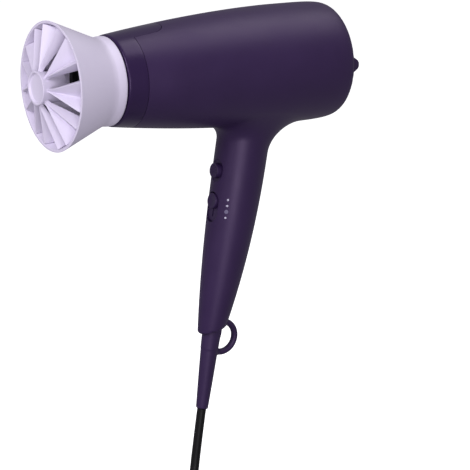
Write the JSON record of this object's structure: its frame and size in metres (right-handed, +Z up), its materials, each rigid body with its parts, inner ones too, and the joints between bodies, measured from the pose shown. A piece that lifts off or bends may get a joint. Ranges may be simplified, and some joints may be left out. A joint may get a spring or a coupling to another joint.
{
  "type": "hair dryer with diffuser",
  "caption": "Hand-held hair dryer with a vaned, turning diffuser on its outlet, a tapered handle with switches and a corded plug.",
  "frame": {"origin": "centre of the hand grip, on the handle's mid-line, 75 mm down from the top of the handle", "axes": "-X is the way the diffuser's mouth and the outlet point, +Z is up, away from the plug end, and -Y is the side shown nearer the camera"},
  "size_m": [0.2465, 0.1833, 0.391],
  "materials": {
    "housing_plastic": "fine satin moulded, very dark purple",
    "ring_plastic": "polished dark purple",
    "lavender_plastic": "satin pale lavender",
    "black_plastic": "satin black, heat resistant",
    "sleeve_rubber": "soft dark purple moulding",
    "cord_sheath": "smooth black flex",
    "nylon": "natural white nylon",
    "mica": "mica sheet, golden grey",
    "heater_wire": "oxidised nickel chrome wire",
    "steel": "zinc plated steel",
    "pin_brass": "nickel plated brass",
    "circuit_board": "green laminate"
  },
  "bodies": {
    "housing": {"housing_left": "housing_plastic", "housing_right": "housing_plastic", "rear_grille": "housing_plastic", "suppression_capacitor": "housing_plastic", "front_ring": "ring_plastic", "outlet_duct": "black_plastic", "outlet_grille": "black_plastic", "fan_casing": "black_plastic", "slider_track": "black_plastic", "slide_switch": "black_plastic", "cool_shot_switch": "black_plastic", "cord_tie": "black_plastic", "cord_sleeve": "sleeve_rubber", "plug_body": "sleeve_rubber", "cord_lead": "cord_sheath", "cord_tail": "cord_sheath", "cord_coil": "cord_sheath", "lead_live": "cord_sheath", "cord_clamp": "nylon", "motor_end_cap": "nylon", "thermal_fuse": "nylon", "lead_neutral": "nylon", "mica_tube": "mica", "mica_board_upright": "mica", "mica_board_level": "mica", "heater_coil_1": "heater_wire", "heater_coil_2": "heater_wire", "heater_coil_3": "heater_wire", "handle_screw_1": "steel", "handle_screw_2": "steel", "inlet_filter": "steel", "thermostat": "steel", "motor_can": "steel", "plug_pin_1": "pin_brass", "plug_pin_2": "pin_brass", "control_board": "circuit_board"},
    "diffuser_clip": {"diffuser_clip_sleeve": "black_plastic"},
    "diffuser": {"diffuser_funnel": "lavender_plastic", "diffuser_face": "lavender_plastic"},
    "fan": {"motor_shaft": "steel", "fan_impeller": "nylon"},
    "cool_button": {"cool_shot_button": "housing_plastic"},
    "heat_slider": {"slider_knob": "housing_plastic"}
  },
  "joints": [
    {"name": "diffuser_pull", "type": "slide", "parent": "housing", "child": "diffuser_clip", "axis": [-1, 0, 0], "range_m": [0, 0.03]},
    {"name": "diffuser_turn", "type": "hinge", "parent": "diffuser_clip", "child": "diffuser", "pos_m": [-0.12708, 0, 0.1177], "axis": [-1, 0, 0], "continuous": true},
    {"name": "fan_spin", "type": "hinge", "parent": "housing", "child": "fan", "pos_m": [0.05692, 0, 0.1177], "axis": [-1, 0, 0], "continuous": true},
    {"name": "cool_shot_press", "type": "slide", "parent": "housing", "child": "cool_button", "axis": [0.9826, 0, -0.1857], "range_m": [0, 0.002], "stiffness_N_per_m": 500, "springref_m": -0.001},
    {"name": "heat_slide", "type": "slide", "parent": "housing", "child": "heat_slider", "axis": [-0.1857, 0, -0.9826], "range_m": [0, 0.009]}
  ]
}
